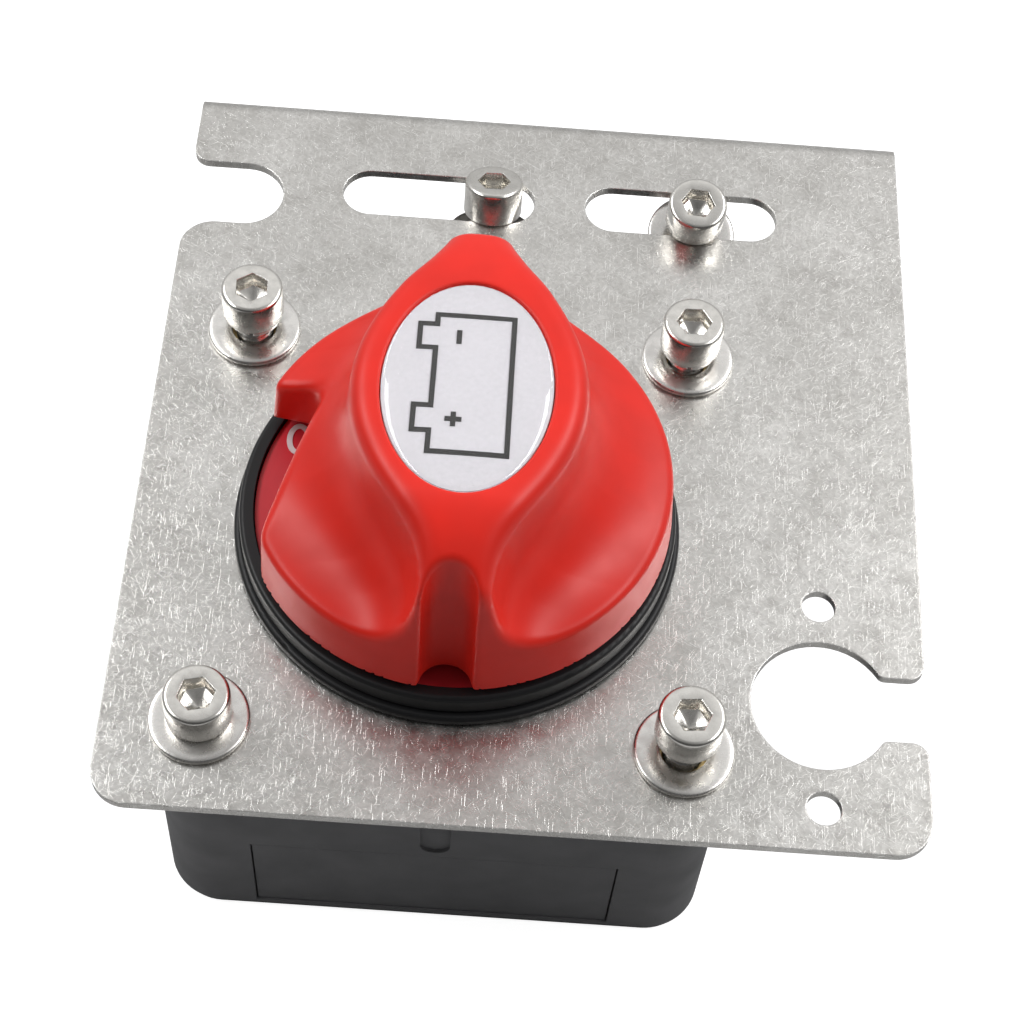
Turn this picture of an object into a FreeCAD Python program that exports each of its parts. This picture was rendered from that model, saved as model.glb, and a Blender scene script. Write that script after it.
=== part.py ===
import FreeCAD, Part
import math
import os
import re
import Sketcher
from FreeCAD import Placement, Rotation, Vector

# Battery isolator on a bent stainless plate.  The origin is the middle of the back cover's underside,
# on the knob's axis.  +Z points up through the knob, +Y towards the plate's bent edge.

doc = FreeCAD.newDocument("battery_switch")
sheet = doc.addObject("Spreadsheet::Sheet", "sizes")

SIZES = {
    # mounting plate
    "plate_top": 42.0, "plate_thick": 1.2, "plate_left": 40.2, "plate_right": 57.7,
    "plate_front": 40.2, "plate_back": 69.0, "bend_outer": 3.0, "flange_drop": 11.0,
    "plate_corner": 4.5, "lug_corner": 2.2, "collar_hole": 25.3, "screw_hole": 3.0,
    "notch_width": 10.6, "notch_depth": 13.0, "notch_middle": 51.2,
    "slot_width": 7.7, "slot_length": 26.4, "slot_spacing": 33.4, "slot_middle_x": 10.75,
    "slot_middle_y": 52.95,
    "socket_x": 45.0, "socket_y": -21.4, "socket_hole": 8.5, "socket_mouth": 8.5,
    "mouth_corner": 2.0, "socket_screw_hole": 2.1, "socket_screw_spacing": 27.0,
    # base housing, back cover and cable panels
    "screw_spacing": 57.0, "base_width": 70.0, "base_corner": 7.2, "base_draft": 0.5,
    "wall": 2.6, "top_wall": 2.6, "boss_radius": 4.8, "cover_thick": 1.6, "cover_inset": 0.5,
    "rib_length": 38.0, "rib_thick": 1.2, "rib_height": 1.4, "rib_gap": 0.3,
    "deck_bottom": 20.0, "deck_thick": 3.0, "chamber_radius": 24.6, "chamber_wall": 2.4,
    "panel_width": 46.0, "panel_bottom": 2.4, "panel_gap": 0.2, "panel_thick": 1.8, "panel_inset": 0.25,
    "tongue_width": 3.7, "tongue_depth": 0.6, "tongue_gap": 1.2,
    "insert_length": 9.0, "insert_radius": 3.3, "screw_depth": 17.0,
    # collar, dial, shaft and seal
    "gasket_thick": 0.5, "flange_radius": 27.6, "flange_thick": 1.2, "waist_radius": 26.2,
    "waist_thick": 0.6, "lip_radius": 26.8, "lip_top": 5.0, "neck_gap": 0.25, "neck_depth": 5.0,
    "neck_wall": 1.8, "dial_radius": 24.9, "dial_gap": 0.15, "dial_thick": 1.2, "dial_top": 4.3,
    "collar_floor": 2.5, "shaft_radius": 8.0, "running_gap": 0.06, "seal_wire": 0.7, "seal_gap": 0.05,
    "rotor_radius": 14.0, "rotor_thick": 2.6, "rotor_gap": 0.4, "stem_width": 7.0,
    "spigot_width": 9.0, "spigot_length": 18.0, "slide_gap": 0.15,
    "mark_radius": 22.2, "mark_angle": 157.5, "mark_width": 3.0, "mark_length": 4.6,
    "mark_stroke": 0.7, "mark_thick": 0.12,
    # contacts
    "stud_spread": 16.0, "stud_radius": 5.0, "stud_gap": 0.1, "stud_head_radius": 7.6,
    "stud_head_thick": 3.4, "stud_seat": 1.5, "stud_length": 17.0,
    "bridge_length": 42.0, "bridge_width": 14.0, "bridge_thick": 2.5,
    "pad_radius": 3.6, "pad_thick": 1.0, "bridge_travel": 1.0, "closed_gap": 0.1,
    "rest_radius": 2.4, "rest_gap": 0.4, "stem_end_gap": 0.6,
    "spring_radius": 6.1, "spring_wire": 0.55, "spring_turns": 4.0, "spring_gap": 0.05,
    # knob and label
    "knob_gap": 6.2, "skirt_radius": 26.1, "rim_radius": 25.5, "rim_height": 13.4, "rim_round": 0.8,
    "dome_foot": 15.8, "dome_lift": 2.6, "dome_height": 18.5, "knob_height": 30.4, "top_radius": 24.1,
    "tip_fall": 3.5, "front_fall": 6.0, "skirt_wall": 2.0, "cavity_height": 11.4, "hub_radius": 9.5,
    "handle_width": 27.0, "neck_width": 7.6, "tip_width": 6.4, "front_reach": 22.6,
    "handle_overrun": 1.5, "groove_radius": 3.1, "groove_lean": 4.8,
    "window_top": 10.0, "window_inner": 16.6, "window_bend": 19.8, "window_end": 207.5,
    "spigot_gap": 0.05, "label_width": 19.6, "label_length": 28.6, "label_thick": 0.6,
    "label_shift_x": 0.25, "label_shift_y": 0.3, "label_drop": 1.1, "label_gap": 0.1,
    "label_margin": 0.7, "dome_rise": 1.0, "print_thick": 0.1, "symbol_width": 9.4,
    "symbol_length": 19.4, "symbol_stroke": 0.6, "symbol_shift_x": 0.7, "symbol_shift_y": 0.4,
    "pole_width": 3.95, "pole_length": 1.9, "pole_spacing": 11.35, "pole_middle": 1.07,
    "sign_inset": 2.9,
    "knob_screw_radius": 1.5, "knob_screw_head": 3.2, "knob_screw_head_height": 2.2,
    "knob_screw_length": 10.0,
    # fasteners
    "shank_radius": 2.4, "head_radius": 3.95, "head_height": 4.85, "head_chamfer": 0.4,
    "hex_flats": 4.0, "hex_depth": 2.6, "screw_length": 16.0, "washer_radius": 6.0,
    "washer_bore": 2.9, "washer_thick": 1.0, "lock_radius": 3.5, "lock_thick": 1.1,
    "lock_split": 0.7, "nut_flats": 8.0, "nut_height": 4.0, "slot_washer_drop": 3.4,
    "stud_nut_flats": 16.0, "stud_nut_height": 8.0, "stud_washer_radius": 10.0,
    "stud_washer_thick": 2.0, "stud_lock_radius": 8.6, "stud_lock_thick": 2.4,
    "lift_back_left": 3.8, "lift_back_right": 3.2, "lift_front_right": 4.2, "washer_slip": 0.4,
    "left_screw_x": 1.5, "left_screw_y": 51.9, "left_screw_lift": -0.8, "left_screw_lean": 16.6,
    "right_screw_x": 29.2, "right_screw_y": 51.4, "right_screw_lift": 0.75, "right_screw_lean": -10.2,
}
for row, (alias, start) in enumerate(SIZES.items(), start=1):
    sheet.set(f"A{row}", alias)
    sheet.set(f"B{row}", str(start))
    sheet.setAlias(f"B{row}", alias)
doc.recompute()

# Heights that several pieces share, as formulas of the sheet.
UNDERSIDE = "(plate_top - plate_thick)"
COLLAR_BASE = "(plate_top + gasket_thick)"
DIAL_SEAT = "(plate_top + dial_top - dial_thick)"
FLOOR_BOTTOM = f"({DIAL_SEAT} - collar_floor)"
ROTOR_TOP = f"({FLOOR_BOTTOM} - rotor_gap)"
ROTOR_BOTTOM = f"({ROTOR_TOP} - rotor_thick)"
DECK_TOP = "(deck_bottom + deck_thick)"
STUD_TOP = f"({DECK_TOP} - stud_seat + stud_head_thick)"
PAD_BOTTOM = f"({STUD_TOP} + closed_gap + bridge_travel)"
BRIDGE_BOTTOM = f"({PAD_BOTTOM} + pad_thick)"
BRIDGE_TOP = f"({BRIDGE_BOTTOM} + bridge_thick)"
LABEL_SEAT = "(plate_top + knob_height - label_drop)"
LABEL_TOP = f"({LABEL_SEAT} + label_thick)"
HALF_SCREWS = "screw_spacing / 2"

nodes = []


def size(alias):
    """The number in one cell of the sheet."""
    return float(getattr(sheet, alias))


def formula(text):
    """Point every alias in a formula at the sheet."""
    return re.sub(r"[a-z_]+", lambda found: f"sizes.{found[0]}" if found[0] in SIZES else found[0], text)


def value(text):
    """The present value of a formula."""
    return float(sheet.evalExpression(formula(text)))


def keep(shape_object, label):
    """Give a finished sub-part its name and put it on the list of pieces to write."""
    shape_object.Label = label
    nodes.append(shape_object)
    return shape_object


# Sketches and PartDesign features

def new_body(name):
    return doc.addObject("PartDesign::Body", name)


def new_sketch(body, plane, lift="0"):
    """A sketch on one of the body's origin planes, lifted along the plane's normal."""
    sketch = body.newObject("Sketcher::SketchObject", "outline")
    role = plane + "_Plane"
    origin_plane = [feature for feature in body.Origin.OriginFeatures if feature.Role == role][0]
    sketch.AttachmentSupport = [(origin_plane, "")]
    sketch.MapMode = "FlatFace"
    sketch.setExpression("AttachmentOffset.Base.z", formula(lift))
    return sketch


def bind_point(sketch, geometry, position, across, up):
    """Tie one point of a sketch to two formulas."""
    for kind, text in (("DistanceX", across), ("DistanceY", up)):
        index = sketch.addConstraint(Sketcher.Constraint(kind, -1, 1, geometry, position, value(text)))
        sketch.setExpression(f"Constraints[{index}]", formula(text))


def polygon(body, plane, corners, lift="0"):
    """A closed outline whose corners are pairs of formulas."""
    sketch = new_sketch(body, plane, lift)
    places = [Vector(value(across), value(up), 0) for across, up in corners]
    count = len(corners)
    for index in range(count):
        sketch.addGeometry(Part.LineSegment(places[index], places[(index + 1) % count]))
    for index in range(count):
        sketch.addConstraint(Sketcher.Constraint("Coincident", index, 2, (index + 1) % count, 1))
    for index, (across, up) in enumerate(corners):
        bind_point(sketch, index, 1, across, up)
    return sketch


def rectangle(body, plane, left, right, low, high, lift="0"):
    return polygon(body, plane, [(left, low), (right, low), (right, high), (left, high)], lift)


def circles(body, plane, centres, radius, lift="0"):
    """Circles of one size; the centres are pairs of formulas."""
    sketch = new_sketch(body, plane, lift)
    for index, (across, up) in enumerate(centres):
        middle = Vector(value(across), value(up), 0)
        sketch.addGeometry(Part.Circle(middle, Vector(0, 0, 1), value(radius)))
        bind_point(sketch, index, 3, across, up)
        size_index = sketch.addConstraint(Sketcher.Constraint("Radius", index, value(radius)))
        sketch.setExpression(f"Constraints[{size_index}]", formula(radius))
    return sketch


def grow(body, kind, sketch, length, reverse=False, both_ways=False):
    """A Pad or a Pocket of a sketch."""
    feature = body.newObject("PartDesign::" + kind, kind.lower())
    feature.Profile = sketch
    feature.setExpression("Length", formula(length))
    feature.Reversed = reverse
    feature.Midplane = both_ways
    body.Tip = feature
    doc.recompute()
    return feature


def spin(body, kind, sketch):
    """A Revolution or a Groove of a sketch about its own vertical axis."""
    feature = body.newObject("PartDesign::" + kind, kind.lower())
    feature.Profile = sketch
    feature.ReferenceAxis = (sketch, ["V_Axis"])
    feature.Angle = 360
    body.Tip = feature
    doc.recompute()
    return feature


def dress(body, kind, radius, choose):
    """A Fillet or a Chamfer of the tip's edges that the test picks."""
    base = body.Tip
    names = [f"Edge{index}" for index, edge in enumerate(base.Shape.Edges, start=1) if choose(edge)]
    feature = body.newObject("PartDesign::" + kind, kind.lower())
    feature.Base = (base, names)
    feature.setExpression("Radius" if kind == "Fillet" else "Size", formula(radius))
    body.Tip = feature
    doc.recompute()
    return feature


def upright(edge):
    box = edge.BoundBox
    return box.ZLength > 0.5 * edge.Length and box.ZLength > 0.01


def upright_at(places):
    """Picks the upright edges that stand at one of the places, which are pairs of formulas."""
    spots = [(value(across), value(up)) for across, up in places]

    def choose(edge):
        middle = edge.BoundBox.Center
        return upright(edge) and any(math.hypot(middle.x - x, middle.y - y) < 0.2 for x, y in spots)

    return choose


# Part primitives

def solid(kind, position=("0", "0", "0"), **formulas):
    """A Part primitive with its sizes and place bound to formulas."""
    primitive = doc.addObject("Part::" + kind, kind.lower())
    for name, text in formulas.items():
        primitive.setExpression(name, formula(text))
    for letter, text in zip("xyz", position):
        primitive.setExpression("Placement.Base." + letter, formula(text))
    return primitive


def cylinder(radius, height, position=("0", "0", "0")):
    return solid("Cylinder", position, Radius=radius, Height=height)


def cut(base, tool):
    result = doc.addObject("Part::Cut", "cut")
    result.Base = base
    result.Tool = tool
    return result


def fuse(*shapes):
    result = doc.addObject("Part::MultiFuse", "fuse")
    result.Shapes = list(shapes)
    return result


def group(label, members):
    """Identical pieces that share one node, each still a solid of its own."""
    result = doc.addObject("Part::Compound", "group")
    result.Links = members
    return keep(result, label)


def ring(outer, inner, height, position=("0", "0", "0")):
    return cut(cylinder(outer, height, position), cylinder(inner, height, position))


# Mounting plate

def slot_cut(body, middle):
    """A round-ended slot along X through the plate."""
    reach = "(slot_length - slot_width) / 2"
    grow(body, "Pocket", rectangle(body, "XY", f"{middle} - {reach}", f"{middle} + {reach}",
                                   "slot_middle_y - slot_width / 2", "slot_middle_y + slot_width / 2",
                                   "plate_top"), "plate_thick")
    ends = [(f"{middle} {side} {reach}", "slot_middle_y") for side in "-+"]
    for end in ends:
        grow(body, "Pocket", circles(body, "XY", [end], "slot_width / 2", "plate_top"), "plate_thick")


def mounting_plate():
    body = new_body("plate")
    inside = "plate_back - plate_thick"
    section = polygon(body, "YZ", [
        ("-plate_front", UNDERSIDE), (inside, UNDERSIDE), (inside, "plate_top - flange_drop"),
        ("plate_back", "plate_top - flange_drop"), ("plate_back", "plate_top"),
        ("-plate_front", "plate_top")], "-plate_left")
    grow(body, "Pad", section, "plate_left + plate_right")
    top, back, inner = value("plate_top"), value("plate_back"), value(inside)
    under = value(UNDERSIDE)

    def along_x(edge, y, z):
        middle = edge.BoundBox.Center
        return edge.BoundBox.XLength > 1 and abs(middle.y - y) < 0.01 and abs(middle.z - z) < 0.01

    dress(body, "Fillet", "bend_outer", lambda edge: along_x(edge, back, top))
    dress(body, "Fillet", "bend_outer - plate_thick", lambda edge: along_x(edge, inner, under))
    dress(body, "Fillet", "plate_corner", upright_at([("-plate_left", "-plate_front"),
                                                      ("plate_right", "-plate_front")]))
    grow(body, "Pocket", circles(body, "XY", [("0", "0")], "collar_hole", "plate_top"), "plate_thick")
    corners = [(f"{x} * {HALF_SCREWS}", f"{y} * {HALF_SCREWS}") for x in ("-1", "1") for y in ("-1", "1")]
    grow(body, "Pocket", circles(body, "XY", corners, "screw_hole", "plate_top"), "plate_thick")
    for side in "-+":
        slot_cut(body, f"slot_middle_x {side} slot_spacing / 2")
    notch_cut(body)
    socket_cut(body)
    return keep(body, "mounting_plate")


def notch_cut(body):
    """The round-ended notch in the left edge, below the small lug."""
    low, high = "notch_middle - notch_width / 2", "notch_middle + notch_width / 2"
    end = "-plate_left + notch_depth - notch_width / 2"
    grow(body, "Pocket", rectangle(body, "XY", "-plate_left", end, low, high, "plate_top"), "plate_thick")
    grow(body, "Pocket", circles(body, "XY", [(end, "notch_middle")], "notch_width / 2", "plate_top"),
         "plate_thick")
    dress(body, "Fillet", "plate_corner", upright_at([("-plate_left", low)]))
    dress(body, "Fillet", "lug_corner", upright_at([("-plate_left", high)]))


def socket_cut(body):
    """The round socket hole with its mouth to the right edge, and its two screw holes."""
    grow(body, "Pocket", circles(body, "XY", [("socket_x", "socket_y")], "socket_hole", "plate_top"),
         "plate_thick")
    low, high = "socket_y - socket_mouth / 2", "socket_y + socket_mouth / 2"
    grow(body, "Pocket", rectangle(body, "XY", "socket_x", "plate_right", low, high, "plate_top"),
         "plate_thick")
    lip = "socket_x + sqrt(socket_hole ^ 2 - (socket_mouth / 2) ^ 2)"
    dress(body, "Fillet", "mouth_corner", upright_at([("plate_right", low), ("plate_right", high)]))
    dress(body, "Fillet", "mouth_corner / 2", upright_at([(lip, low), (lip, high)]))
    holes = [("socket_x", f"socket_y {side} socket_screw_spacing / 2") for side in "-+"]
    grow(body, "Pocket", circles(body, "XY", holes, "socket_screw_hole", "plate_top"), "plate_thick")


# Base housing, back cover and cable panels

def corner_places(half):
    return [(f"{x} * {half}", f"{y} * {half}") for x in ("-1", "1") for y in ("-1", "1")]


def panel_top():
    return "deck_bottom"


def base_housing():
    body = new_body("base")
    half = "base_width / 2"
    outer = grow(body, "Pad", rectangle(body, "XY", "-" + half, half, "-" + half, half, "cover_thick"),
                 f"{UNDERSIDE} - cover_thick")
    outer.setExpression("TaperAngle", formula("-base_draft"))
    doc.recompute()
    dress(body, "Fillet", "base_corner", upright)
    inner = "(base_width / 2 - wall)"
    grow(body, "Pocket", rectangle(body, "XY", "-" + inner, inner, "-" + inner, inner, "cover_thick"),
         f"{UNDERSIDE} - cover_thick - top_wall", reverse=True)
    bosses = corner_places(HALF_SCREWS)
    grow(body, "Pad", circles(body, "XY", bosses, "boss_radius", "cover_thick"),
         f"{UNDERSIDE} - cover_thick")
    grow(body, "Pad", circles(body, "XY", [("0", "0")], "chamber_radius + chamber_wall", "deck_bottom"),
         f"{UNDERSIDE} - deck_bottom")
    grow(body, "Pocket", circles(body, "XY", [("0", "0")], "chamber_radius", UNDERSIDE),
         f"{UNDERSIDE} - {DECK_TOP}")
    grow(body, "Pocket", circles(body, "XY", bosses, "insert_radius", UNDERSIDE), "insert_length")
    grow(body, "Pocket", circles(body, "XY", bosses, "shank_radius + stud_gap", UNDERSIDE), "screw_depth")
    studs = [("-stud_spread", "0"), ("stud_spread", "0")]
    grow(body, "Pocket", circles(body, "XY", studs, "stud_head_radius + stud_gap", DECK_TOP), "stud_seat")
    grow(body, "Pocket", circles(body, "XY", studs, "stud_radius + stud_gap", DECK_TOP), "deck_thick")
    rests = [("0", "-stud_spread"), ("0", "stud_spread")]
    grow(body, "Pad", circles(body, "XY", rests, "rest_radius", DECK_TOP),
         f"{PAD_BOTTOM} - rest_gap - {DECK_TOP}")
    for plane in ("XZ", "YZ"):
        window = rectangle(body, plane, "-panel_width / 2", "panel_width / 2", "panel_bottom", panel_top())
        grow(body, "Pocket", window, "base_width + wall", both_ways=True)
    tongue_grooves(body)
    return keep(body, "base_housing")


def tongue_grooves(body):
    """The shallow round-ended groove above each cable panel."""
    low = f"{panel_top()} + tongue_gap + tongue_width / 2"
    flat = rectangle(body, "XZ", "-tongue_width / 2", "tongue_width / 2", low, UNDERSIDE,
                     "base_width / 2")
    first = grow(body, "Pocket", flat, "tongue_depth")
    end = circles(body, "XZ", [("0", low)], "tongue_width / 2", "base_width / 2")
    second = grow(body, "Pocket", end, "tongue_depth")
    pattern = body.newObject("PartDesign::PolarPattern", "pattern")
    pattern.Originals = [first, second]
    axis = [feature for feature in body.Origin.OriginFeatures if feature.Role == "Z_Axis"][0]
    pattern.Axis = (axis, [""])
    pattern.Angle = 360
    pattern.Occurrences = 4
    body.Tip = pattern
    doc.recompute()


def back_cover():
    body = new_body("cover")
    half = "(base_width / 2 - cover_inset)"
    grow(body, "Pad", rectangle(body, "XY", "-" + half, half, "-" + half, half), "cover_thick")
    dress(body, "Fillet", "base_corner - cover_inset", upright)
    outer = "(base_width / 2 - wall - rib_gap)"
    inner = f"({outer} - rib_thick)"
    reach = "rib_length / 2"
    for side in ("-1", "1"):
        low, high = f"{side} * {outer}", f"{side} * {inner}"
        grow(body, "Pad", rectangle(body, "XY", "-" + reach, reach, low, high, "cover_thick"), "rib_height")
        grow(body, "Pad", rectangle(body, "XY", low, high, "-" + reach, reach, "cover_thick"), "rib_height")
    return keep(body, "back_cover")


def knockout_panels():
    for turn, side in enumerate(("front", "right", "rear", "left")):
        body = new_body("panel")
        edge = "(panel_width / 2 - panel_gap)"
        face = rectangle(body, "XZ", "-" + edge, edge, "panel_bottom + panel_gap",
                         f"{panel_top()} - panel_gap", "base_width / 2 - panel_inset")
        grow(body, "Pad", face, "panel_thick", reverse=True)
        body.Placement = Placement(Vector(0, 0, 0), Rotation(Vector(0, 0, 1), 90 * turn))
        keep(body, f"knockout_panel_{side}")


def threaded_inserts():
    bore = "shank_radius"
    place = [(x, y, f"{UNDERSIDE} - insert_length") for x, y in corner_places(HALF_SCREWS)]
    group("threaded_inserts", [ring("insert_radius", bore, "insert_length", spot) for spot in place])


# Collar, gasket, dial, shaft and seal

def top_collar():
    body = new_body("collar")
    bore = "shaft_radius + running_gap"
    seat = "dial_radius + dial_gap"
    flange_top = f"{COLLAR_BASE} + flange_thick"
    waist_top = f"{flange_top} + waist_thick"
    lip = "plate_top + lip_top"
    neck = "chamber_radius - neck_gap"
    neck_end = f"{UNDERSIDE} - neck_depth"
    profile = polygon(body, "XZ", [
        (bore, FLOOR_BOTTOM), (f"{neck} - neck_wall", FLOOR_BOTTOM), (f"{neck} - neck_wall", neck_end),
        (neck, neck_end), (neck, UNDERSIDE), ("collar_hole - neck_gap", UNDERSIDE),
        ("collar_hole - neck_gap", COLLAR_BASE), ("flange_radius", COLLAR_BASE),
        ("flange_radius", flange_top), ("waist_radius", flange_top), ("waist_radius", waist_top),
        ("lip_radius", waist_top), ("lip_radius", lip), (seat, lip), (seat, DIAL_SEAT),
        (bore, DIAL_SEAT)])
    spin(body, "Revolution", profile)
    middle = f"({DIAL_SEAT} + {FLOOR_BOTTOM}) / 2"
    groove = rectangle(body, "XZ", bore + " - seal_gap", f"{bore} + 2 * seal_wire + seal_gap",
                       f"{middle} - seal_wire - seal_gap", f"{middle} + seal_wire + seal_gap")
    spin(body, "Groove", groove)
    rims = [(size("lip_radius"), value(lip)), (size("flange_radius"), value(flange_top))]

    def outer_rim(edge):
        curve = edge.Curve
        return isinstance(curve, Part.Circle) and any(
            abs(curve.Radius - radius) < 0.01 and abs(curve.Center.z - height) < 0.01
            for radius, height in rims)

    dress(body, "Fillet", "flange_thick / 2", outer_rim)
    return keep(body, "top_collar")


def collar_gasket():
    keep(ring("flange_radius - neck_gap", "collar_hole", "gasket_thick", ("0", "0", "plate_top")),
         "collar_gasket")


def dial_disc():
    keep(ring("dial_radius", "shaft_radius + dial_gap", "dial_thick", ("0", "0", DIAL_SEAT)), "dial_disc")


def raised_ellipse(across, along, height, position):
    """An upright ellipse, longer along Y, pushed up from its place."""
    face = solid("Ellipse", position, MajorRadius=along, MinorRadius=across)
    face.Placement.Rotation = Rotation(Vector(0, 0, 1), 90)
    result = doc.addObject("Part::Extrusion", "raised")
    result.Base = face
    result.Dir = Vector(0, 0, 1)
    result.DirMode = "Custom"
    result.Solid = True
    result.setExpression("LengthFwd", formula(height))
    return result


def dial_marks():
    """A raised ring for off, and a raised bar a quarter turn clockwise for on."""
    top = "plate_top + dial_top"
    centre = ("mark_radius * cos(mark_angle)", "mark_radius * sin(mark_angle)", top)
    half, stroke = ("mark_width / 2", "mark_length / 2"), "mark_stroke"
    zero = cut(raised_ellipse(half[0], half[1], "mark_thick", centre),
               raised_ellipse(f"{half[0]} - {stroke}", f"{half[1]} - {stroke}", "mark_thick", centre))
    bar = solid("Box", ("mark_radius * cos(mark_angle - 90) - mark_length / 2",
                        "mark_radius * sin(mark_angle - 90) - mark_stroke / 2", top),
                Length="mark_length", Width="mark_stroke", Height="mark_thick")
    group("dial_marks", [zero, bar])


def rotor_shaft():
    """The spindle: square spigot in the knob, round journal in the collar, flange and square stem."""
    body = new_body("rotor")
    spigot_base = f"({COLLAR_BASE} + lip_top)"
    profile = [("0", ROTOR_BOTTOM), ("rotor_radius", ROTOR_BOTTOM), ("rotor_radius", ROTOR_TOP),
               ("shaft_radius", ROTOR_TOP), ("shaft_radius", spigot_base), ("0", spigot_base)]
    spin(body, "Revolution", polygon(body, "XZ", profile))
    stem_end = f"({DECK_TOP} + stem_end_gap)"
    half = "stem_width / 2"
    grow(body, "Pad", rectangle(body, "XY", "-" + half, half, "-" + half, half, stem_end),
         f"{ROTOR_BOTTOM} - {stem_end}")
    half = "spigot_width / 2"
    grow(body, "Pad", rectangle(body, "XY", "-" + half, half, "-" + half, half, spigot_base),
         "spigot_length")
    grow(body, "Pocket", circles(body, "XY", [("0", "0")], "knob_screw_radius",
                                 f"{spigot_base} + spigot_length"), "knob_screw_length")
    return keep(body, "rotor_shaft")


def shaft_seal():
    middle = f"({DIAL_SEAT} + {FLOOR_BOTTOM}) / 2"
    keep(solid("Torus", ("0", "0", middle), Radius1="shaft_radius + seal_gap + seal_wire",
               Radius2="seal_wire"), "shaft_seal")


# Contacts

def contact_bridge():
    """The copper bar that the stem carries, with a contact pad under each end."""
    body = new_body("bridge")
    reach, half = "bridge_length / 2", "bridge_width / 2"
    grow(body, "Pad", rectangle(body, "XY", "-" + half, half, "-" + reach, reach, BRIDGE_BOTTOM),
         "bridge_thick")
    dress(body, "Fillet", "bridge_width / 4", upright)
    pads = [("0", "-stud_spread"), ("0", "stud_spread")]
    grow(body, "Pad", circles(body, "XY", pads, "pad_radius", PAD_BOTTOM), "pad_thick")
    hole = "(stem_width / 2 + slide_gap)"
    grow(body, "Pocket", rectangle(body, "XY", "-" + hole, hole, "-" + hole, hole, BRIDGE_TOP),
         "bridge_thick")
    return keep(body, "contact_bridge")


def contact_spring():
    """A coil spring between the rotor's flange and the bridge, round the stem."""
    wire, gap = size("spring_wire"), size("spring_gap")
    low = value(BRIDGE_TOP) + wire + gap
    high = value(ROTOR_BOTTOM) - wire - gap
    turns = size("spring_turns")
    coil = Part.makeHelix((high - low) / turns, high - low, size("spring_radius"))
    section = Part.Wire(Part.makeCircle(wire, Vector(size("spring_radius"), 0, 0), Vector(0, 1, 0)))
    feature = doc.addObject("Part::Feature", "spring")
    feature.Shape = Part.Wire(coil.Edges).makePipeShell([section], True, False)
    feature.Placement = Placement(Vector(0, 0, low), Rotation())
    return keep(feature, "contact_spring")


def terminal_studs():
    head_bottom = f"({STUD_TOP} - stud_head_thick)"
    for side, name in (("-1", "left"), ("1", "right")):
        spot = f"{side} * stud_spread"
        head = cylinder("stud_head_radius", "stud_head_thick", (spot, "0", head_bottom))
        shank = cylinder("stud_radius", f"stud_length + {head_bottom} - deck_bottom",
                         (spot, "0", "deck_bottom - stud_length"))
        keep(fuse(head, shank), f"terminal_stud_{name}")


def terminal_hardware():
    spots = ("-1 * stud_spread", "stud_spread")
    washer_base = "(deck_bottom - stud_washer_thick)"
    lock_base = f"({washer_base} - stud_lock_thick)"
    nut_base = f"({lock_base} - stud_nut_height)"
    bore = "stud_radius"
    group("terminal_washers", [ring("stud_washer_radius", bore, "stud_washer_thick",
                                    (spot, "0", washer_base)) for spot in spots])
    group("terminal_lock_washers", [split_ring("stud_lock_radius", bore, "stud_lock_thick",
                                               (spot, "0", lock_base)) for spot in spots])
    group("terminal_nuts", [hex_nut("stud_nut_flats", bore, "stud_nut_height", (spot, "0", nut_base))
                            for spot in spots])


# Knob and label

def smooth_outline(half_points, height):
    """A closed smooth wire through points mirrored across the Y axis."""
    right = [Vector(x, y, height) for x, y in half_points]
    left = [Vector(-x, y, height) for x, y in reversed(half_points)]
    curve = Part.BSplineCurve()
    curve.interpolate(right + left, PeriodicFlag=True)
    return Part.Wire([curve.toShape()])


# The handle's plan at stations from its tip to its front.  Each station has its place as a share of the
# skirt's radius, its width as a share of the handle's, and how much of the flare it takes.
HANDLE_WAIST = [(0.58, 0.66, 0.9), (0.23, 0.97, 1.0), (-0.02, 0.99, 1.0), (-0.33, 0.80, 1.1),
                (-0.57, 0.48, 0.9)]

# The handle's layers: the height as a share of the knob's, and how far the sides have flared out there.
HANDLE_LAYERS = [(0.40, 8.0), (0.55, 3.6), (0.72, 1.2), (0.88, 0.0), (0.95, -0.6), (1.02, -2.2)]


def handle_outline(spread, height):
    """The handle's plan: a flat tip, a wide middle and a narrow neck, each spread sideways."""
    middle, neck, tip = size("handle_width") / 2, size("neck_width") / 2, size("tip_width") / 2
    reach = size("skirt_radius")
    front = -size("front_reach")
    end_flare = 0.3
    stations = [(tip + end_flare * spread, reach + size("handle_overrun"))]
    stations += [(width * middle + flare * spread, place * reach) for place, width, flare in HANDLE_WAIST]
    stations += [(neck + end_flare * spread, front + neck / 2), (neck, front)]
    return smooth_outline(stations, height)


def handle_solid(base):
    """The handle, lofted up from the skirt with flared sides and a rounded top edge."""
    wires = [handle_outline(spread, base + share * size("knob_height")) for share, spread in HANDLE_LAYERS]
    return Part.makeLoft(wires, True, False)


def turned(points):
    """A solid of revolution about Z from a profile of radius and height pairs."""
    corners = [Vector(radius, 0, height) for radius, height in points]
    return Part.Face(Part.makePolygon(corners + corners[:1])).revolve(Vector(0, 0, 0), Vector(0, 0, 1), 360)


def falling_arc(side, start, fall):
    """An arc that leaves the level at start and has dropped by fall at the skirt, towards one end."""
    ridge = size("plate_top") + size("knob_height")
    across, run = -2 * size("skirt_radius"), size("skirt_radius") - start
    radius = (run ** 2 + fall ** 2) / (2 * fall)
    half_turn = math.asin(run / radius) / 2
    middle = Vector(across, side * (start + radius * math.sin(half_turn)),
                    ridge - radius * (1 - math.cos(half_turn)))
    return Part.Arc(Vector(across, side * start, ridge), middle,
                    Vector(across, side * size("skirt_radius"), ridge - fall)).toShape()


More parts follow.
